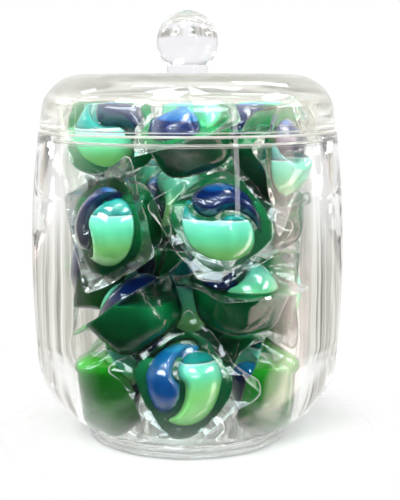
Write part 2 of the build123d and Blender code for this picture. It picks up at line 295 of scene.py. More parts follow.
# %% Floor
half_floor = 1.5
paint_full, paint_gone = 54 * MM, 112 * MM
least_white = 0.2

floor_mesh = bpy.data.meshes.new("floor")
floor_corners = [(x * half_floor, y * half_floor, 0.0) for x, y in ((-1, -1), (1, -1), (1, 1), (-1, 1))]
floor_mesh.from_pydata(floor_corners, [], [(0, 1, 2, 3)])
floor = bpy.data.objects.new("floor", floor_mesh)
bpy.context.collection.objects.link(floor)
floor_paint, tree = new_material("matt white studio paint")
from_jar = add_node(
    tree,
    "ShaderNodeVectorMath",
    {"operation": "LENGTH"},
    i0=add_node(tree, "ShaderNodeTexCoord").outputs["Object"],
)
faded = add_node(
    tree,
    "ShaderNodeMapRange",
    {"interpolation_type": "SMOOTHSTEP"},
    Value=from_jar.outputs["Value"],
    From_Min=paint_full,
    From_Max=paint_gone,
    To_Min=least_white,
)
paint = add_node(tree, "ShaderNodeBsdfDiffuse", Color="#fdfdfc")
nothing = add_node(tree, "ShaderNodeBsdfTransparent", Color="#ffffff")
sheet = add_node(tree, "ShaderNodeMixShader", i0=faded, i1=paint, i2=nothing)
add_node(tree, "ShaderNodeOutputMaterial", Surface=sheet)
floor_mesh.materials.append(floor_paint)
print("floor shows to", round(paint_gone / MM), "mm from the axis")

# %% [markdown]
# The jar, its lid and its knob are turned shapes, so each is a section drawn once and swept
# round the axis. The sections below repeat the real sizes in millimetres. Corners that the
# makers polished get a small radius, because a sharp corner on clear plastic would not catch
# the bright line that the eye expects there.

# %% Section drawing helpers
def arc_through(start, middle, end, count):
    """Points on the circle arc from start through middle to end, without the start."""
    (ax, ay), (bx, by), (cx, cy) = start, middle, end
    d = 2 * (ax * (by - cy) + bx * (cy - ay) + cx * (ay - by))
    a2, b2, c2 = ax * ax + ay * ay, bx * bx + by * by, cx * cx + cy * cy
    ux = (a2 * (by - cy) + b2 * (cy - ay) + c2 * (ay - by)) / d
    uy = (a2 * (cx - bx) + b2 * (ax - cx) + c2 * (bx - ax)) / d
    first = math.atan2(ay - uy, ax - ux)
    last = math.atan2(cy - uy, cx - ux)
    way = math.atan2(by - uy, bx - ux)
    turn = (last - first) % (2 * math.pi)
    if (way - first) % (2 * math.pi) > turn:
        turn -= 2 * math.pi
    radius = math.hypot(ax - ux, ay - uy)
    angles = [first + turn * k / count for k in range(1, count + 1)]
    return [(ux + radius * math.cos(a), uy + radius * math.sin(a)) for a in angles]


def quarter_ellipse(centre, across, up, start_degrees, turn_degrees, count):
    """Points on a quarter of an ellipse, its first point included."""
    points = []
    for k in range(count + 1):
        a = math.radians(start_degrees + turn_degrees * k / count)
        points.append((centre[0] + across * math.cos(a), centre[1] + up * math.sin(a)))
    return points


def eased_corner(before, corner, after, radius, count=6):
    """Points that round one corner of a section with a small radius."""
    corner, before, after = Vector(corner), Vector(before), Vector(after)
    back = (before - corner).normalized()
    on = (after - corner).normalized()
    half = back.angle(on) / 2
    reach = radius / math.tan(half)
    start, end = corner + back * reach, corner + on * reach
    centre = corner + (back + on).normalized() * (radius / math.sin(half))
    middle = centre + (corner - centre).normalized() * radius
    return [tuple(start)] + arc_through(tuple(start), tuple(middle), tuple(end), count)


print("an eased corner has", len(eased_corner((0, 0), (1, 0), (1, 1), 0.2)), "points")

# %% [markdown]
# A lathe follows one rule for every shape: take the section, and turn it about the axis. So one
# Geometry Nodes tree turns all three clear pieces. It gets the section as a chain of points from
# the axis round to the axis again. A grid with one row for each of those points is made, every
# row reads its point, and every column turns it a step further. Merging closes the seam and the
# poles. The result is kept as a plain mesh.

# %% The lathe
def make_lathe():
    """A Geometry Nodes tree with inputs for the section, the steps of a turn and the finish."""
    tree = bpy.data.node_groups.new("lathe", "GeometryNodeTree")
    sockets = {}
    for name, kind in (("Section", "Geometry"), ("Steps", "Int"), ("Weld", "Float"), ("Finish", "Material")):
        socket = tree.interface.new_socket(name=name, in_out="INPUT", socket_type="NodeSocket" + kind)
        sockets[name] = socket.identifier
    tree.interface.new_socket(name="Piece", in_out="OUTPUT", socket_type="NodeSocketGeometry")
    given = add_node(tree, "NodeGroupInput").outputs
    rows = add_node(tree, "GeometryNodeAttributeDomainSize", Geometry=given["Section"]).outputs["Point Count"]
    columns = add_node(tree, "ShaderNodeMath", {"operation": "ADD"}, i0=given["Steps"], i1=1.0)
    grid = add_node(tree, "GeometryNodeMeshGrid", Vertices_X=rows, Vertices_Y=columns)
    index = add_node(tree, "GeometryNodeInputIndex")
    share = add_node(tree, "ShaderNodeMath", {"operation": "DIVIDE"}, i0=index, i1=columns)
    row = add_node(tree, "ShaderNodeMath", {"operation": "FLOOR"}, i0=share)
    column = add_node(tree, "ShaderNodeMath", {"operation": "MODULO"}, i0=index, i1=columns)
    part_of_turn = add_node(tree, "ShaderNodeMath", {"operation": "DIVIDE"}, i0=column, i1=given["Steps"])
    turn = add_node(tree, "ShaderNodeMath", MULTIPLY, i0=part_of_turn, i1=2 * math.pi)
    point = add_node(
        tree,
        "GeometryNodeSampleIndex",
        {"data_type": "FLOAT_VECTOR"},
        Geometry=given["Section"],
        Value=add_node(tree, "GeometryNodeInputPosition"),
        Index=row,
    )
    turned = add_node(tree, "ShaderNodeVectorRotate", {"rotation_type": "Z_AXIS"}, Vector=point, Angle=turn)
    shell = add_node(tree, "GeometryNodeSetPosition", Geometry=grid, Position=turned)
    welded = add_node(tree, "GeometryNodeMergeByDistance", Geometry=shell, Distance=given["Weld"])
    outward = add_node(tree, "GeometryNodeFlipFaces", Mesh=welded)
    smooth = add_node(tree, "GeometryNodeSetShadeSmooth", Geometry=outward)
    whole = add_node(tree, "GeometryNodeRealizeInstances", Geometry=smooth)
    finished = add_node(tree, "GeometryNodeSetMaterial", Geometry=whole, Material=given["Finish"])
    add_node(tree, "NodeGroupOutput", Piece=finished)
    return tree, sockets


lathe, lathe_inputs = make_lathe()
print("lathe nodes", len(lathe.nodes))

# %% [markdown]
# The section goes into the tree as a wire of its own. The tree's inputs are set by the names
# that Blender keeps for them, before the wire is first worked out. Edges sharper than a limit
# stay crisp, and the volume is printed: it is above zero only if all faces point outwards.

# %% Turning a piece
weld_distance = 0.002 * MM
sharp_corner = math.radians(35)


def turned_piece(name, outline, finish, steps):
    """Turns a (radius, height) section in mm about the Z axis into a plain mesh."""
    section = bpy.data.meshes.new(name + "_section")
    points = [(radius * MM, 0.0, rise * MM) for radius, rise in outline]
    section.from_pydata(points, [(k, k + 1) for k in range(len(points) - 1)], [])
    blank = bpy.data.objects.new(name + "_blank", section)
    bpy.context.collection.objects.link(blank)
    modifier = blank.modifiers.new("lathe", "NODES")
    modifier.node_group = lathe
    modifier[lathe_inputs["Steps"]] = steps
    modifier[lathe_inputs["Weld"]] = weld_distance
    modifier[lathe_inputs["Finish"]] = finish
    turned = blank.evaluated_get(bpy.context.evaluated_depsgraph_get())
    data = bpy.data.meshes.new_from_object(turned)
    bpy.data.objects.remove(blank)
    data.name = name
    data.set_sharp_from_angle(angle=sharp_corner)
    piece = bpy.data.objects.new(name, data)
    bpy.context.collection.objects.link(piece)
    solid = bmesh.new()
    solid.from_mesh(data)
    litres = solid.calc_volume(signed=True) * 1000
    solid.free()
    print(name, "faces", len(data.polygons), "litres of plastic", round(litres, 3))
    return piece


# %% [markdown]
# Acrylic sheet and mouldings are PMMA: water clear, an index of refraction of 1.49, polished
# until it is as smooth as glass, and a touch warm where the wall is thick. Lamps have to reach
# the pods through it, so rays that carry shadow pass straight through with a slight tint, and
# with a deep one at the foot, whose thick round edge bends the light away. The faces that meet
# at the joint are only fine-ground, which shows as thin white lines, and the shoulder of the
# lid is a little milky from handling and washing.

# %% Acrylic
ripple_size = 22 * MM
ripple_depth = 0.4 * MM
foot_shade = (14 * MM, 6 * MM)


def clear_acrylic(name, tint, ripple, milky=()):
    """Moulded and polished PMMA. ripple is how far the mould's slight waves bend light.

    Each row of milky is low, full, end and share: between these heights, in mm, the surface
    scatters that share of the light.
    """
    material, tree = new_material(name)
    place = add_node(tree, "ShaderNodeTexCoord").outputs["Object"]
    waves = add_node(
        tree, "ShaderNodeTexNoise", Vector=place, Scale=1 / ripple_size, Detail=1.0, Roughness=0.4
    )
    bump = add_node(tree, "ShaderNodeBump", Height=waves, Strength=ripple, Distance=ripple_depth)
    surface = add_node(
        tree,
        "ShaderNodeBsdfPrincipled",
        Base_Color=tint,
        Roughness=0.0,
        IOR=1.49,
        Transmission_Weight=1.0,
        Normal=bump,
    )
    level = add_node(tree, "ShaderNodeSeparateXYZ", i0=place).outputs["Z"]
    ground = add_node(tree, "ShaderNodeBsdfDiffuse", Color="#e6e3dc")
    for low, full, end, share in milky:
        band = zone(tree, (level, low * MM, full * MM), (level, (end + 0.1) * MM, end * MM))
        amount = add_node(tree, "ShaderNodeMath", MULTIPLY, i0=band, i1=share)
        surface = add_node(tree, "ShaderNodeMixShader", i0=amount, i1=surface, i2=ground)
    in_foot = zone(tree, (level, *foot_shade))
    shade = add_node(tree, "ShaderNodeMix", COLOURS, Factor=in_foot, A="#f1f3f1", B="#3e4244")
    through = add_node(tree, "ShaderNodeBsdfTransparent", Color=shade)
    is_shadow = add_node(tree, "ShaderNodeLightPath").outputs["Is Shadow Ray"]
    mixed = add_node(tree, "ShaderNodeMixShader", i0=is_shadow, i1=surface, i2=through)
    add_node(tree, "ShaderNodeOutputMaterial", Surface=mixed)
    return material


joint_lines = [(143.4, 143.6, 144.6, 0.55), (139.5, 139.6, 140.0, 0.35)]
lid_haze = [(145.3, 145.35, 145.9, 0.55), (140.1, 140.15, 140.6, 0.35), (149.0, 160.0, 180.0, 0.16)]
acrylic_body = clear_acrylic("polished cast acrylic, jar", "#fcfdfb", 0.25, joint_lines)
acrylic_lid = clear_acrylic("polished cast acrylic, lid", "#fbfaf6", 0.2, lid_haze)
acrylic_knob = clear_acrylic("turned acrylic, knob", "#fbfafd", 0.1)
print("acrylic nodes", len(acrylic_body.node_tree.nodes), len(acrylic_knob.node_tree.nodes))

# %% [markdown]
# The jar body is one thick moulding: a barrel that swells a little at its belly, a deep round
# heel, a heavy floor and a foot with three beads. The hollow inside is plain, and at the rim a
# shallow rebate takes the lid.

# %% Jar body
jar_height = 144.5
rim_radius, lip_radius = 69.4, 65.0
belly = (73.2, 82.0)
hip = (71.5, 43.0)
heel_bulge = (63.6, 18.5)
waist_radius = 48.6
foot_radius, foot_height, foot_rim_width = 46.5, 7.0, 7.0
foot_beads, bead_radius, bead_gap = 3, 1.1, 0.02
underside_recess = 2.5
floor_height, floor_radius, heel_height = 9.0, 39.0, 40.0
cavity_low, cavity_high = 59.2, 61.0
shelf_height = 139.9
rim_round, small_round, foot_round = 1.0, 0.4, 0.3
jar_steps, bead_steps, heel_steps, side_steps, hollow_steps = 192, 10, 40, 56, 36


def foot_outline():
    """The jar's section from under its floor round the foot and its beads."""
    foot_inner = foot_radius - foot_rim_width
    middle, recess = (0.0, underside_recess), (foot_inner, underside_recess)
    inner, outer, top = (foot_inner, 0.0), (foot_radius, 0.0), (foot_radius, foot_height)
    outline = [middle]
    outline += eased_corner(middle, recess, inner, small_round)
    outline += eased_corner(recess, inner, outer, small_round)
    outline += eased_corner(inner, outer, top, foot_round)
    pitch = foot_height / foot_beads
    for index in range(foot_beads):
        level = (index + 0.5) * pitch
        outline.append((foot_radius, max(level - bead_radius, outline[-1][1] + bead_gap)))
        bead_top = (foot_radius, level + bead_radius)
        outline += arc_through(outline[-1], (foot_radius + bead_radius, level), bead_top, bead_steps)
    return outline + [top]


def jar_outline():
    """Half section of the jar body, from under its floor round the outside to the hollow."""
    waist, rim = (waist_radius, foot_height), (rim_radius, jar_height)
    lip, shelf = (lip_radius, jar_height), (lip_radius, shelf_height)
    heel_top = floor_height + heel_height
    inner = (cavity_high, shelf_height)
    side = arc_through(hip, belly, rim, side_steps)
    outline = foot_outline() + [waist]
    outline += arc_through(waist, heel_bulge, hip, heel_steps)
    outline += side[:-2]
    outline += eased_corner(side[-2], rim, lip, rim_round)
    outline += eased_corner(rim, lip, shelf, rim_round)
    outline += eased_corner(lip, shelf, inner, small_round)
    outline += eased_corner(shelf, inner, (cavity_low, heel_top), small_round)
    across = cavity_low - floor_radius
    outline += quarter_ellipse((floor_radius, heel_top), across, heel_height, 0, -90, hollow_steps)
    return outline + [(0.0, floor_height)]


jar = turned_piece("jar_wall", jar_outline(), acrylic_body, jar_steps)
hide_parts("jar_body")
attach(jar, "jar")

# %% [markdown]
# The lid is a second moulding. Its plug ring drops into the rebate of the rim, and its edge
# stops just short of the rim, which leaves the thin bright line round the jar.

# %% Lid
lid_edge_height = 145.4
lid_top_height = 170.1
lid_edge_radius, lid_shoulder_radius = 68.8, 67.6
lid_shoulder_rise = 10.5
lid_corner = (60.6, lid_edge_height + 20.8)
lid_top_radius, lid_wall, lid_top_thickness = 50.5, 5.2, 5.4
plug_radius, plug_wall, plug_bottom = 64.65, 4.0, 140.2
socket_radius, socket_depth = 5.1, 3.1
plug_round, lid_edge_round = 0.5, 0.8
lid_steps, vault_steps, shoulder_steps = 192, 24, 36


def lid_outline():
    """Half section of the lid, from under its top down the inside, round and up the outside."""
    inside_height = lid_top_height - lid_top_thickness
    socket_floor = lid_top_height - socket_depth
    shoulder = (lid_shoulder_radius, lid_edge_height + lid_shoulder_rise)
    edge, plug_edge = (lid_edge_radius, lid_edge_height), (plug_radius, lid_edge_height)
    plug_inner = plug_radius - plug_wall
    plug_start = (plug_inner, lid_edge_height)
    plug_heel, plug_toe = (plug_inner, plug_bottom), (plug_radius, plug_bottom)
    vault = (lid_top_radius - lid_wall, shoulder[1])
    across = lid_shoulder_radius - lid_top_radius
    outline = [(0.0, inside_height)]
    outline += quarter_ellipse(vault, across, inside_height - shoulder[1], 90, -90, vault_steps)
    outline.append(plug_start)
    outline += eased_corner(plug_start, plug_heel, plug_toe, plug_round)
    outline += eased_corner(plug_heel, plug_toe, plug_edge, plug_round)
    outline.append(plug_edge)
    outline += eased_corner(plug_edge, edge, shoulder, lid_edge_round)
    outline.append(shoulder)
    outline += arc_through(shoulder, lid_corner, (lid_top_radius, lid_top_height), shoulder_steps)
    return outline + [(socket_radius, lid_top_height), (socket_radius, socket_floor), (0.0, socket_floor)]


lid = turned_piece("lid_shell", lid_outline(), acrylic_lid, lid_steps)
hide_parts("lid")
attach(lid, "cover")

# %% [markdown]
# The knob is a ball with a short neck, turned from one bar. A spigot below it is glued into
# the lid.

# %% Knob
ball_radius, ball_middle = 14.1, lid_top_height + 15.3
neck_radius, neck_height = 9.5, 4.5
spigot_radius, spigot_length = 5.0, 3.0
neck_round = 0.5
ball_side = math.radians(20)
knob_steps, ball_steps = 128, 48


def knob_outline():
    """Half section of the knob, from the spigot up to the top of the ball."""
    base, spigot_end = lid_top_height, lid_top_height - spigot_length
    neck_end = (neck_radius, base + neck_height)
    ball_top = (0.0, ball_middle + ball_radius)
    waypoint = (ball_radius * math.cos(ball_side), ball_middle + ball_radius * math.sin(ball_side))
    outline = [(0.0, spigot_end), (spigot_radius, spigot_end), (spigot_radius, base)]
    outline += eased_corner(outline[-1], (neck_radius, base), neck_end, neck_round)
    outline.append(neck_end)
    outline += arc_through(neck_end, waypoint, ball_top, ball_steps)
    return outline[:-1] + [ball_top]


knob = turned_piece("knob_ball", knob_outline(), acrylic_knob, knob_steps)
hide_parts("knob")
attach(knob, "cover")

# %% [markdown]
# Each CAD pod says where its dressed pod goes. The solid carries no label, so its place is read
# from its shape. First come the real sizes of a pod in mm, and points along the S-shaped valley
# between its two swirl chambers, which tell one turn of a pod from another.

# %% Sizes of a pod
pouch_side, pouch_depth, pouch_round = 39.2, 20.6, 8.8
pouch_draft = math.radians(12)
film_side, film_thickness = 41.2, 0.6
swirl_radius, swirl_height = 17.6, 9.8
large_head, swirl_gap = 10.0, 1.8
small_head = swirl_radius - large_head
large_middle, small_middle = swirl_radius - large_head, small_head - swirl_radius
valley_stops = 9


def valley_points():
    """Points along the middle of the valley between the large and the small chamber."""
    points = []
    for k in range(valley_stops):
        a = math.pi * (k + 0.5) / valley_stops
        points.append((-large_head * math.sin(a), large_middle + large_head * math.cos(a)))
        points.append((small_head * math.sin(a), small_middle + small_head * math.cos(a)))
    return points


print("pod", pouch_side, "mm across, chambers", 2 * large_head, "and", 2 * round(small_head, 1), "mm")

# %% [markdown]
# The flat faces of a pod give the direction of its axis, looked for first within a wide limit
# and then within a narrow one. The corners of the sealed film are the points farthest from that
# axis, so they give the level of the film, and the deep pouch hangs on the far side of it.

# %% The axis of a pod
flat_limits = (0.98, 0.9995)
corner_share = 0.93


def mesh_arrays(mesh):
    """Points in mm, and the normal, area and middle of every face."""
    arrays = []
    items = [(mesh.vertices, "co", 3), (mesh.polygons, "normal", 3)]
    items += [(mesh.polygons, "area", 1), (mesh.polygons, "center", 3)]
    for source, what, width in items:
        values = np.empty(len(source) * width)
        source.foreach_get(what, values)
        arrays.append(values.reshape(-1, width))
    points, normals, areas, middles = arrays
    return points / MM, normals, areas[:, 0], middles / MM


def surface_tree(mesh):
    """A search tree over a mesh, in mm."""
    points = [vertex.co / MM for vertex in mesh.vertices]
    return BVHTree.FromPolygons(points, [tuple(face.vertices) for face in mesh.polygons])


def from_axis(offsets, axis):
    """Distance of each offset from an axis."""
    return np.linalg.norm(offsets - np.outer(offsets @ axis, axis), axis=1)


def film_axis(points, normals, areas, centre):
    """Direction from the pouch to the swirl chambers, and the level of the film along it."""
    axis = np.linalg.eigh((normals * areas[:, None]).T @ normals)[1][:, -1]
    for limit in flat_limits:
        along = normals @ axis
        flat = np.abs(along) > limit
        axis = (normals[flat] * (np.sign(along[flat]) * areas[flat])[:, None]).sum(axis=0)
        axis /= np.linalg.norm(axis)
    reach = from_axis(points - centre, axis)
    level = (points[reach > corner_share * reach.max()] @ axis).mean()
    heights = points @ axis - level
    return (-axis, -level) if heights.max() > -heights.min() else (axis, level)


trees = {name: surface_tree(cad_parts[name].data) for name in pod_nodes}
print("search trees", len(trees))

# %% [markdown]
# The straight edges of the film give the turn about the axis, apart from quarter turns: four
# times their angle is the same for all four sides. Of the four quarter turns, the right one has
# the valley between the swirl chambers where it should be, so that rays from above fall deepest.

# %% The turn of a pod
upright_limit = 0.05
edge_share = 0.92


def film_turn(normals, areas, outward, axis, side, front):
    """Turn of the film's straight edges about the axis, apart from quarter turns."""
    edge = (np.abs(normals @ axis) < upright_limit) & (outward > edge_share * film_side / 2)
    around = np.arctan2(normals[edge] @ front, normals[edge] @ side)
    return np.angle((areas[edge] * np.exp(4j * around)).sum()) / 4


def valley_depth(tree, middle, x_dir, y_dir, axis):
    """How deep rays along the valley fall, if the pod is turned this way."""
    depth = 0.0
    for x, y in valley_points():
        start = middle + x_dir * x + y_dir * y + axis * 2 * swirl_height
        hit = tree.ray_cast(Vector(start), Vector(-axis))
        depth += hit[3] if hit[0] is not None else 0.0
    return depth


def pod_place(mesh, tree):
    """Middle of the pod's film, and its x, y and z directions as the columns of a matrix."""
    points, normals, areas, middles = mesh_arrays(mesh)
    centre = (middles * areas[:, None]).sum(axis=0) / areas.sum()
    axis, level = film_axis(points, normals, areas, centre)
    side = np.cross(axis, (1.0, 0.0, 0.0) if abs(axis[0]) < 0.7 else (0.0, 1.0, 0.0))
    side /= np.linalg.norm(side)
    front = np.cross(axis, side)
    turn = film_turn(normals, areas, from_axis(middles - centre, axis), axis, side, front)
    found = []
    for quarter in range(4):
        a = turn + quarter * math.pi / 2
        x_dir = side * math.cos(a) + front * math.sin(a)
        y_dir = np.cross(axis, x_dir)
        middle = axis * level
        for direction in (x_dir, y_dir):
            spread = points @ direction
            middle = middle + direction * (spread.max() + spread.min()) / 2
        depth = valley_depth(tree, middle, x_dir, y_dir, axis)
        found.append((depth, middle, np.column_stack([x_dir, y_dir, axis])))
    return max(found, key=lambda one: one[0])[1:]


places = {name: pod_place(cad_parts[name].data, trees[name]) for name in pod_nodes}
print("first pod at", places[pod_nodes[0]][0].round(1), "faces", places[pod_nodes[0]][1][:, 2].round(2))

# %% [markdown]
# A washing pod is two sheets of film, drawn into moulds by vacuum, filled, and sealed edge to
# edge. The bottom sheet makes the deep square pouch and the top sheet makes two comma-shaped
# chambers that curl round each other. Film pulled into a mould keeps its corners soft, so the
# pouch is a stack of rounded squares, from a full rim through a drafted side to a round bottom.
# Small waves with a random start make each pouch sag and pleat a little differently.

# %% The pouch
ring_steps = 72
squareness = 3.2
any_phase = 6.28
film_slack = 0.2
dome_rise, dome_rings = 1.1, [(0.35, 1.0), (0.6, 0.85), (0.8, 0.6), (0.93, 0.3)]
pouch_rings = [0.0, 1.2, 2.6, 4.2, 6.0, 8.0, 10.0, 12.0, 13.8, 15.4, 16.8, 18.0, 19.0, 19.8, 20.3]
raised_below, bottom_gap = 10, 0.15
lump_counts, pleat_counts = (2, 3, 5), (9, 16)
pleat_fade, sag = 4.0, 0.5


def rounded_square(angles, half, power=squareness):
    """Distance from the axis to a soft-cornered square, for each angle."""
    corner = np.abs(np.cos(angles)) ** power + np.abs(np.sin(angles)) ** power
    return half / corner ** (1 / power)


def wave(rng, angles, count):
    """A wave with a number of crests round the pod, started at random."""
    return np.sin(count * angles + rng.uniform(0, any_phase))


def pouch_half(depth):
    """Half width of the pouch at a depth below its film."""
    turn_depth = pouch_depth - pouch_round
    turn_half = pouch_side / 2 - turn_depth * math.tan(pouch_draft) - pouch_round / math.cos(pouch_draft)
    if depth < turn_depth + pouch_round * math.sin(pouch_draft):
        return pouch_side / 2 - depth * math.tan(pouch_draft)
    return turn_half + math.sqrt(pouch_round**2 - (depth - turn_depth) ** 2)


def pouch_mesh(inset, crumple, rng):
    """Points and faces of a closed pouch, drawn in by inset, with a crumpled rim."""
    angles = np.arange(ring_steps) * 2 * math.pi / ring_steps
    lumps = sum(rng.uniform(0.2, 0.5) * wave(rng, angles, k) / k for k in lump_counts)
    pleats = np.abs(np.sin(pleat_counts[0] * angles + 2.0 * wave(rng, angles, 2)))
    pleats += 0.5 * np.abs(wave(rng, angles, pleat_counts[1]))
    rings = []
    for share, rise in dome_rings:
        half = share * (pouch_side / 2 - film_slack - inset)
        rings.append((rounded_square(angles, half), rise * dome_rise - inset))
    for depth in pouch_rings:
        pleated = crumple * math.exp(-depth / pleat_fade) * pleats
        sagged = sag * math.sin(math.pi * depth / pouch_depth) * (0.5 + lumps * 0.5)
        radius = rounded_square(angles, pouch_half(depth) - film_slack - inset) - pleated - sagged
        rings.append((radius, -max(depth, inset) + (inset if depth > raised_below else 0)))
    points = [(0.0, 0.0, dome_rise - inset)]
    for radius, level in rings:
        points += [(r * math.cos(a), r * math.sin(a), level) for a, r in zip(angles, radius)]
    last = len(points)
    points.append((0.0, 0.0, -pouch_depth + bottom_gap + inset))
    faces = []
    for k in range(ring_steps):
        n = (k + 1) % ring_steps
        faces.append((0, 1 + k, 1 + n))
        for a in range(1, last - ring_steps, ring_steps):
            faces.append((a + k, a + ring_steps + k, a + ring_steps + n, a + n))
        faces.append((last - ring_steps + k, last, last - ring_steps + n))
    return np.array(points), faces


print("pouch rings", len(dome_rings) + len(pouch_rings), "of", ring_steps, "points")

# %% [markdown]
# The two swirl chambers fill a circle between them. Each outline is three arcs: the rim of the
# circle, the round head of one chamber and the hollow that makes room for the other's head. The
# gap between them is where the two sheets are sealed.

# %% Outlines of the swirl chambers
rim_points, large_points, small_points = 44, 30, 24


def arc_points(centre, radius, start, end, count):
    """Points on a circle arc, its last point left out."""
    angles = np.linspace(start, end, count, endpoint=False)
    return [(centre[0] + radius * math.cos(a), centre[1] + radius * math.sin(a)) for a in angles]


def comma_outline(large):
    """Outline of the large or the small chamber, drawn in by half of the gap."""
    inset = swirl_gap / 2
    rim = swirl_radius - inset
    head, head_middle = (large_head, large_middle) if large else (small_head, small_middle)
    hollow, hollow_middle = (small_head, small_middle) if large else (large_head, large_middle)
    head, hollow = head - inset, hollow + inset
    tip_height = (rim**2 - hollow**2 + hollow_middle**2) / (2 * hollow_middle)
    side = 1 if large else -1
    across = side * math.sqrt(rim**2 - tip_height**2)
    tip = math.atan2(tip_height, across)
    hollow_tip = math.atan2(tip_height - hollow_middle, across)
    if large:
        up, down, end = math.pi / 2, math.pi / 2, hollow_tip
        head_points, hollow_points = large_points, small_points
    else:
        up, down, end = 3 * math.pi / 2, -math.pi / 2, hollow_tip - 2 * math.pi
        head_points, hollow_points = small_points, large_points
    outline = arc_points((0, 0), rim, tip, up, rim_points)
    outline += arc_points((0, head_middle), head, up, up + math.pi, head_points)
    return outline + arc_points((0, hollow_middle), hollow, down, end, hollow_points)


def edge_distance(points, outline):
    """Distance in mm from each point to a closed outline."""
    along = np.roll(outline, -1, axis=0) - outline
    offset = points[:, None] - outline[None]
    share = np.clip((offset * along).sum(axis=2) / (along**2).sum(axis=1), 0, 1)
    return np.linalg.norm(offset - share[..., None] * along, axis=2).min(axis=1)


def inside_outline(points, outline):
    """Which points lie inside a closed outline: an odd number of its edges is to their right."""
    end = np.roll(outline, -1, axis=0)
    along = end - outline
    level = points[:, None, 1]
    crossed = (outline[:, 1] > level) != (end[:, 1] > level)
    rise = np.where(along[:, 1] == 0, 1e-9, along[:, 1])
    meet = outline[:, 0] + (level - outline[:, 1]) * along[:, 0] / rise
    return (crossed & (points[:, None, 0] < meet)).sum(axis=1) % 2 == 1


print("outline points", len(comma_outline(True)), len(comma_outline(False)))

# %% [markdown]
# A chamber is its outline filled with a grid of points and joined to triangles. The height
# follows one low dome, rounded down to nothing at the outline, which gives the plump shoulders
# of filled film. A low wall and a flat floor close it a little below the film.

# %% The swirl chambers
grid_spacing, edge_room = 1.15, 0.45
shoulder_width = 3.6
chamber_floor = -0.3
merge_distance = 1e-5


def bmesh_from(points, faces):
    """A bmesh of points and faces."""
    mesh = bmesh.new()
    corners = [mesh.verts.new(point) for point in points]
    for face in faces:
        mesh.faces.new([corners[index] for index in face])
    return mesh


def closed_lists(mesh):
    """Points and faces of a closed bmesh, facing outwards. The bmesh is freed."""
    bmesh.ops.recalc_face_normals(mesh, faces=mesh.faces)
    mesh.verts.index_update()
    points = np.array([vertex.co[:] for vertex in mesh.verts])
    faces = [tuple(vertex.index for vertex in face.verts) for face in mesh.faces]
    mesh.free()
    return points, faces


def chamber_mesh(large):
    """Points and faces of one closed, domed chamber."""
    outline = np.array(comma_outline(large))
    steps = np.arange(-swirl_radius, swirl_radius, grid_spacing)
    shifts = [0.5 * grid_spacing if row % 2 else 0 for row in range(len(steps))]
    grid = np.array([(x + shift, y) for shift, y in zip(shifts, steps) for x in steps])
    grid = grid[inside_outline(grid, outline)]
    grid = grid[edge_distance(grid, outline) > edge_room * grid_spacing]
    flat = [Vector(point) for point in np.concatenate([outline, grid])]
    ring = list(range(len(outline)))
    filled = delaunay_2d_cdt(flat, [], [ring], 1, merge_distance, False)
    plan = np.array([tuple(point) for point in filled[0]])
    share = np.clip(edge_distance(plan, outline) / shoulder_width, 0, 1)
    dome_radius = (swirl_radius**2 + swirl_height**2) / (2 * swirl_height)
    dome = np.sqrt(dome_radius**2 - (plan**2).sum(axis=1)) + swirl_height - dome_radius
    height = film_thickness / 2 + (dome - film_thickness / 2) * np.sqrt(1 - (1 - share) ** 2)
    mesh = bmesh_from([(x, y, z) for (x, y), z in zip(plan, height)], filled[2])
    bmesh.ops.recalc_face_normals(mesh, faces=mesh.faces)
    if sum(face.normal.z for face in mesh.faces) < 0:
        bmesh.ops.reverse_faces(mesh, faces=mesh.faces)
    rim_edges = [edge for edge in mesh.edges if edge.is_boundary]
    wall = bmesh.ops.extrude_edge_only(mesh, edges=rim_edges)["geom"]
    for vertex in [item for item in wall if isinstance(item, bmesh.types.BMVert)]:
        vertex.co.z = chamber_floor
    low_edges = [item for item in wall if isinstance(item, bmesh.types.BMEdge) and item.is_boundary]
    bmesh.ops.edgeloop_fill(mesh, edges=low_edges)
    return closed_lists(mesh)


large_chamber = chamber_mesh(True)
small_chamber = chamber_mesh(False)
print("chamber faces", len(large_chamber[1]), len(small_chamber[1]))

# %% [markdown]
# Outside the seal a narrow skirt of film is left, wider at its corners, where the mould sheet
# was cut. It may not cut into what lies beside it, so rays measure the free room. Each skirt
# that is made joins the things to avoid.

# %% The room beside a pod
near_enough = 64.0
body_tree = surface_tree(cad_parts["jar_body"].data)
lid_tree = surface_tree(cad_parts["lid"].data)
skirt_trees = {}


def neighbours_of(node):
    """Search trees of all that may lie beside one pod, with the skirts that are made already."""
    middle = places[node][0]
    near = [name for name in pod_nodes if name != node]
    near = [name for name in near if np.linalg.norm(places[name][0] - middle) < near_enough]
    made = [skirt_trees[name] for name in near if name in skirt_trees]
    return [trees[name] for name in near] + made + [body_tree, lid_tree]


def free_length(others, start, way, longest):
    """How far the way from a point is free, up to a longest length in mm."""
    for other in others:
        hit = other.ray_cast(Vector(start), Vector(way), longest)
        if hit[0] is not None:
            longest = hit[3]
    return longest


def spread_low(values, rounds, slack=0.0):
    """Lets low values in a closed ring draw their neighbours down to the mean plus a slack."""
    for _ in range(rounds):
        means = (np.roll(values, 1) + values + np.roll(values, -1)) / 3
        values = np.minimum(values, means + slack)
    return values


print("beside the first pod", len(neighbours_of(pod_nodes[0])), "things")

# %% [markdown]
# The skirt starts under the pouch's rim and ends at a ragged, sharper square. Its edge waves
# with a few random crests, and each corner curls up or down by a few mm on its own.

# %% The limp film
skirt_steps, skirt_rows = 144, 7
skirt_start = 1.2
skirt_half, skirt_power = 22.6, 24
corner_reach, corner_draw, corner_power = 4.2, (-0.4, 1.0), 6
ragged_waves = ((0.02, 3), (0.015, 7))
skirt_waves, wave_height = (3, 5, 8, 13), 0.45
curl_draw, curl_width = (-2.6, 3.2), 0.42

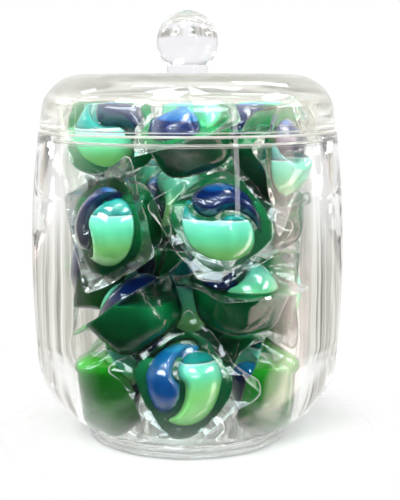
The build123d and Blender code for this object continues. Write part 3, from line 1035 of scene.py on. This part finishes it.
skirt_angles = np.arange(skirt_steps) * 2 * math.pi / skirt_steps
skirt_ways = np.column_stack([np.cos(skirt_angles), np.sin(skirt_angles), np.zeros(skirt_steps)])
skirt_inner = rounded_square(skirt_angles, pouch_side / 2 - skirt_start)


def limp_film(rng):
    """How far the film would reach, and how high its edge would stand, round one pod, in mm."""
    square = rounded_square(skirt_angles, 1.0, skirt_power)
    corner = np.abs(np.sin(2 * skirt_angles)) ** corner_power
    ragged = 1 + sum(size * wave(rng, skirt_angles, count) for size, count in ragged_waves)
    reach = skirt_half * square * ragged + corner_reach * corner * rng.uniform(*corner_draw)
    waves = sum(rng.uniform(0.4, 1.0) * wave(rng, skirt_angles, k) / math.sqrt(k) for k in skirt_waves)
    rise = wave_height * waves
    for k in range(4):
        corner_angle = math.pi / 4 + k * math.pi / 2
        gap = np.abs((skirt_angles - corner_angle + math.pi) % (2 * math.pi) - math.pi)
        rise = rise + rng.uniform(*curl_draw) * np.exp(-((gap / curl_width) ** 2))
    return reach, rise


print("skirt starts", skirt_inner.min().round(1), "to", skirt_inner.max().round(1), "mm from the axis")

# %% [markdown]
# The film then gives way. It ends a little before what lies beside it, and where it has little
# room it waves less. Each line of it is tried from the pouch to the edge, and where one would
# still meet something it is laid flatter, in a few rounds. Two sheets close at the edge, so
# that the skirt is a real thin solid.

# %% The film skirt
skirt_room = 0.8
longest_skirt = 22.0
tried_heights = (-0.6, 0.0, 0.6)
least_skirt, skirt_slack = 0.3, 0.15
wide_enough = 2.5
reach_rounds, loose_rounds, calm_rounds = 3, 6, 8
calm_shares = (0.6, 0.5, 0.4, 0.2, 0.0)
bend_power = 1.6
film_half_thickness = 0.07

skirt_shares = np.arange(skirt_rows) / (skirt_rows - 1)


def skirt_width(others, middle, turn, reach):
    """Where the skirt ends, and how loose it may lie, from 0 to 1, both for each angle."""
    room = np.full(skirt_steps, longest_skirt)
    for index, way in enumerate(skirt_ways):
        for height in tried_heights:
            base = middle + turn @ (way * skirt_inner[index] + (0.0, 0.0, height))
            room[index] = min(room[index], free_length(others, base, turn @ way, longest_skirt))
    room += skirt_inner - skirt_room
    tight = spread_low(np.minimum(reach, room), reach_rounds, skirt_slack)
    loose = spread_low(np.clip((room - tight) / wide_enough, 0.0, 1.0), loose_rounds)
    return np.maximum(tight, skirt_inner + least_skirt), loose


def calmed_heights(others, middle, turn, radii, rise, loose):
    """Height of every row of the skirt, laid flatter where a line of it would meet something."""
    for calm in calm_shares:
        heights = np.outer(skirt_shares**bend_power, rise * loose)
        kept = np.ones(skirt_steps)
        for index, way in enumerate(skirt_ways):
            line = radii[:, index, None] * way + np.outer(heights[:, index], (0.0, 0.0, 1.0))
            line = middle + line @ turn.T
            for first, second in zip(line, line[1:]):
                length = float(np.linalg.norm(second - first)) + skirt_room
                if free_length(others, first, second - first, length) < length:
                    kept[index] = calm
        if kept.min() == 1.0:
            break
        loose = loose * spread_low(kept, calm_rounds)
    return np.outer(skirt_shares**bend_power, rise * loose)


def skirt_faces():
    """Faces of the upper and the lower sheet, joined at the edge and closed under the pouch."""
    faces = []
    edge, under = (skirt_rows - 1) * skirt_steps, skirt_rows * skirt_steps
    last = under + (skirt_rows - 2) * skirt_steps
    for k in range(skirt_steps):
        n = (k + 1) % skirt_steps
        for a in range(0, edge, skirt_steps):
            faces.append((a + k, a + skirt_steps + k, a + skirt_steps + n, a + n))
        for a in range(under, last, skirt_steps):
            faces.append((a + n, a + skirt_steps + n, a + skirt_steps + k, a + k))
        faces.append((last + n, edge + n, edge + k, last + k))
        faces.append((n, k, under + k, under + n))
    return faces


def skirt_mesh(node, rng):
    """Points in their place, faces and rim share of the waved film skirt round one pod."""
    middle, turn = places[node]
    others = neighbours_of(node)
    reach, rise = limp_film(rng)
    end, loose = skirt_width(others, middle, turn, reach)
    radii = skirt_inner + np.outer(skirt_shares, end - skirt_inner)
    heights = calmed_heights(others, middle, turn, radii, rise, loose)
    edge_row = skirt_rows - 1
    sheets = [(row, film_half_thickness) for row in range(edge_row)] + [(edge_row, 0.0)]
    sheets += [(row, -film_half_thickness) for row in range(edge_row)]
    points = [
        radii[row][:, None] * skirt_ways + np.outer(heights[row] + side, (0.0, 0.0, 1.0))
        for row, side in sheets
    ]
    placed = np.concatenate(points) @ turn.T + middle
    faces = skirt_faces()
    skirt_trees[node] = BVHTree.FromPolygons([Vector(point) for point in placed], faces)
    return placed, faces, np.repeat([skirt_shares[row] for row, _ in sheets], skirt_steps)


print("skirt faces", len(skirt_faces()))

# %% [markdown]
# The film is PVOH, a clear water-soluble plastic, cast as a sheet about as glossy as cling film
# and always a little crumpled, so it shows mostly as bright creases. It hardly bends light, so
# it can be a see-through shell with a gloss that grows towards grazing angles. Along its cut
# edge a broken white line is painted on, a painted highlight for the glints that the edge catches.

# %% Film
RIDGED = {"noise_type": "RIDGED_MULTIFRACTAL"}
# Real creases lie 2 to 5 mm apart. They are drawn at 16 mm with finer ones between them, which
# is coarser than real, because finer ones turn to noise behind the wall.
crease_size, fold_size, crease_depth = 16 * MM, 15 * MM, 1.2 * MM
# The white line at the film's cut edge is a painted highlight. Noise of this size breaks it into pieces.
highlight_gap_size, edge_highlight_share = 8 * MM, 0.6

film, tree = new_material("clear PVOH film, cast and crumpled")
place = add_node(tree, "ShaderNodeTexCoord").outputs["Object"]
creases = add_node(
    tree, "ShaderNodeTexNoise", RIDGED, Vector=place, Scale=1 / crease_size, Detail=2.0, Roughness=0.55
)
folds = add_node(
    tree, "ShaderNodeTexVoronoi", {"feature": "DISTANCE_TO_EDGE"}, Vector=place, Scale=1 / fold_size
)
relief = add_node(tree, "ShaderNodeMath", {"operation": "ADD"}, i0=creases, i1=folds)
bump = add_node(tree, "ShaderNodeBump", Height=relief, Strength=0.9, Distance=crease_depth)
sheen = add_node(tree, "ShaderNodeFresnel", IOR=1.5, Normal=bump)
see_through = add_node(tree, "ShaderNodeBsdfTransparent", Color="#fbfffd")
gloss = add_node(tree, "ShaderNodeBsdfAnisotropic", Color="#ffffff", Roughness=0.06, Normal=bump)
glossed = add_node(tree, "ShaderNodeMixShader", i0=sheen, i1=see_through, i2=gloss)
# A painted highlight: a white matt line along the outer edge of the skirt.
rim_share = add_node(tree, "ShaderNodeAttribute", {"attribute_name": "rim"}).outputs["Fac"]
highlight_gaps = add_node(tree, "ShaderNodeTexNoise", Vector=place, Scale=1 / highlight_gap_size, Detail=1.0, Roughness=0.5)
edge_highlight_zone = zone(tree, (rim_share, 0.93, 1.0), (highlight_gaps, 0.42, 0.62))
edge_highlight_amount = add_node(tree, "ShaderNodeMath", MULTIPLY, i0=edge_highlight_zone, i1=edge_highlight_share)
painted_edge_highlight = add_node(tree, "ShaderNodeBsdfDiffuse", Color="#ffffff")
with_edge_highlight = add_node(tree, "ShaderNodeMixShader", i0=edge_highlight_amount, i1=glossed, i2=painted_edge_highlight)
add_node(tree, "ShaderNodeOutputMaterial", Surface=with_edge_highlight)
print("film nodes", len(tree.nodes))

# %% [markdown]
# Three liquids fill a pod. The deep pouch holds an emerald gel that is clear enough to glow
# where it is thin. The large chamber holds a pearly mint cream and the small one a dark navy
# one. None is filled to the brim: an air pocket is left, and its flat surface stays level
# however the pod lies. An attribute holds each point's depth below that surface, in mm, and the
# colour follows it. Part of that colour is painted light: the gels and the navy are lighter at
# the surface and in the air pocket, a painted highlight from above, and darker deep down, a
# painted shade, and the mint has a painted bright line just under its surface. A wet liquid
# against film is smooth, so it carries a clear, strong coat, which the film's wrinkles break
# into small bright glints.

# %% Liquids
cloud_size = 9 * MM
# Coarser than real, like the creases of the film.
wrinkle_size, wrinkle_depth = 14 * MM, 1.8 * MM
glow_colours, glow_depth = (0.2, 1.0, 0.6), 5 * MM


def liquid(name, stops, roughness, coat, waves, glow=0.0):
    """A liquid behind film: its colour by depth in mm below the air pocket, and its gloss.

    waves is how far clouds in the liquid shift that depth, in mm.
    """
    material, tree = new_material(name)
    depth = add_node(tree, "ShaderNodeAttribute", {"attribute_name": "depth"}).outputs["Fac"]
    place = add_node(tree, "ShaderNodeTexCoord").outputs["Object"]
    cloud = add_node(
        tree, "ShaderNodeTexNoise", Vector=place, Scale=1 / cloud_size, Detail=2.0, Roughness=0.5
    )
    drift = add_node(tree, "ShaderNodeMath", {"operation": "MULTIPLY_ADD"}, i0=cloud, i1=waves, i2=depth)
    first, last = stops[0][0], stops[-1][0]
    span = add_node(tree, "ShaderNodeMapRange", Value=drift, From_Min=first, From_Max=last)
    shares = [((at - first) / (last - first), shade) for at, shade in stops]
    colour = add_node(tree, "ShaderNodeValToRGB", {"stops": shares}, i0=span)
    skin = add_node(
        tree, "ShaderNodeTexNoise", RIDGED, Vector=place, Scale=1 / wrinkle_size, Detail=3.0, Roughness=0.6
    )
    wrinkles = add_node(tree, "ShaderNodeBump", Height=skin, Strength=0.9, Distance=wrinkle_depth)
    surface = add_node(
        tree,
        "ShaderNodeBsdfPrincipled",
        Base_Color=colour,
        Roughness=roughness,
        IOR=1.45,
        Coat_Weight=coat,
        Coat_Roughness=0.03,
        Coat_IOR=1.85,
        Subsurface_Weight=glow,
        Subsurface_Radius=glow_colours,
        Subsurface_Scale=glow_depth,
        Coat_Normal=wrinkles,
    )
    add_node(tree, "ShaderNodeOutputMaterial", Surface=surface)
    return material


# The stops are light near the surface and, for the gels and the blues, dark deep down: a painted highlight
# from above and painted shade. The mint's pale stop at 0.2 is a painted highlight along its surface, and its
# dark stop at -0.2 is a painted shade just above it.
emerald_stops = [(0.0, "#58e0a0"), (0.9, "#12ac68"), (9.0, "#06884c"), (24.0, "#036036")]
# A painted backlight glow: lime stops for the gel of the pods that lie against the light.
backlight_glow_stops = [(0.0, "#7fe85a"), (1.5, "#34c830"), (9.0, "#1cae20"), (24.0, "#0c8c18")]
navy_stops = [(-6.0, "#1c9ad4"), (-0.4, "#0566b8"), (0.6, "#032468"), (14.0, "#010c30")]
sky_stops = [(-6.0, "#4cc4e8"), (-0.4, "#229cd0"), (0.6, "#0f76b8"), (14.0, "#064a90")]
mint_stops = [(-7.0, "#18b8b0"), (-1.0, "#109c96"), (-0.2, "#06706c"), (0.2, "#c8fff2")]
mint_stops += [(1.0, "#84fce0"), (7.0, "#70f0b8"), (14.0, "#90e884")]
gel = liquid("emerald washing gel", emerald_stops, 0.15, 0.35, 1.5, 0.6)
backlit_gel = liquid("emerald washing gel, painted lime backlight", backlight_glow_stops, 0.15, 0.4, 1.5, 0.6)
navy = liquid("navy washing gel", navy_stops, 0.2, 1.0, 1.0)
sky_blue = liquid("sky blue washing gel", sky_stops, 0.2, 1.0, 1.0)
mint = liquid("mint washing cream, pearly", mint_stops, 0.25, 1.0, 0.6)
# The two lowest outer pods lie against the light, and their gel is painted lime as a glow of backlight. Two
# lower pods are sky blue.
backlit_pods = ("pod_09", "pod_14")
sky_pods = ("pod_10", "pod_11")
print("liquid nodes", len(gel.node_tree.nodes))

# %% [markdown]
# One pod is put together from its parts: the gel, cut off flat at its level, then the two
# chambers, the clear pouch round the gel and the skirt. Every part is turned and moved into the
# place that the CAD pod gave, and all of them make one mesh with four materials.

# %% Parts of a pod
pouch_air, pouch_spread = 0.2, (-0.03, 0.05)
chamber_air, chamber_spread = 0.16, (-0.08, 0.12)
gel_inset, film_crumple = 0.35, 0.28
cut_distance = 1e-4
FILM_SLOT = 3


def air_level(points, share):
    """World height above which a share of the points lie: the surface of the liquid."""
    return float(np.quantile(points[:, 2], 1 - share))


def cut_flat(points, faces, level):
    """Cuts a closed mesh flat at a world height, and closes the cut."""
    mesh = bmesh_from(points, faces)
    cut = bmesh.ops.bisect_plane(
        mesh,
        geom=mesh.verts[:] + mesh.edges[:] + mesh.faces[:],
        dist=cut_distance,
        plane_co=(0, 0, level),
        plane_no=(0, 0, 1),
        clear_outer=True,
    )
    edges = [item for item in cut["geom_cut"] if isinstance(item, bmesh.types.BMEdge)]
    bmesh.ops.edgeloop_fill(mesh, edges=edges)
    return closed_lists(mesh)


def pod_parts(node, rng):
    """The parts of one pod: points in their place, faces, material slot, depths, rim shares."""
    middle, turn = places[node]
    points, faces = pouch_mesh(gel_inset, 0.0, rng)
    points = points @ turn.T + middle
    level = air_level(points, pouch_air + rng.uniform(*pouch_spread))
    points, faces = cut_flat(points, faces, level)
    parts = [(points, faces, 0, level - points[:, 2], 0.0)]
    for (points, faces), slot in ((small_chamber, 1), (large_chamber, 2)):
        points = points @ turn.T + middle
        level = air_level(points, chamber_air + rng.uniform(*chamber_spread))
        parts.append((points, faces, slot, level - points[:, 2], 0.0))
    points, faces = pouch_mesh(0.0, film_crumple, rng)
    parts.append((points @ turn.T + middle, faces, FILM_SLOT, 0.0, 0.0))
    points, faces, rim = skirt_mesh(node, rng)
    return parts + [(points, faces, FILM_SLOT, 0.0, rim)]


print("air pockets", pouch_air, "and", chamber_air, "of the points")

# %% [markdown]
# Each pod has its own seed, so that no two are alike and every run gives the same heap.

# %% The heap
sharp_fold = math.radians(50)


def dressed_pod(node, seed):
    """One pod with its liquids, its film and its skirt, in the place of its CAD solid."""
    all_points, all_faces, slots, depths, rims = [], [], [], [], []
    for points, faces, slot, depth, rim in pod_parts(node, np.random.default_rng(seed)):
        base = len(all_points)
        all_points += [tuple(point * MM) for point in points]
        all_faces += [tuple(index + base for index in face) for face in faces]
        slots += [slot] * len(faces)
        depths += list(np.broadcast_to(depth, len(points)))
        rims += list(np.broadcast_to(rim, len(points)))
    data = bpy.data.meshes.new(node.replace("pod", "dressed"))
    data.from_pydata(all_points, [], all_faces)
    bowl = backlit_gel if node in backlit_pods else gel
    small = sky_blue if node in sky_pods else navy
    for material in (bowl, small, mint, film):
        data.materials.append(material)
    data.polygons.foreach_set("material_index", slots)
    data.attributes.new("depth", "FLOAT", "POINT").data.foreach_set("value", depths)
    data.attributes.new("rim", "FLOAT", "POINT").data.foreach_set("value", rims)
    data.shade_smooth()
    data.set_sharp_from_angle(angle=sharp_fold)
    piece = bpy.data.objects.new(data.name, data)
    bpy.context.collection.objects.link(piece)
    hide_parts(node)
    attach(piece, "jar")
    return piece


pods = [dressed_pod(name, index) for index, name in enumerate(pod_nodes)]
print("dressed pods", len(pods), "faces each", len(pods[0].data.polygons))
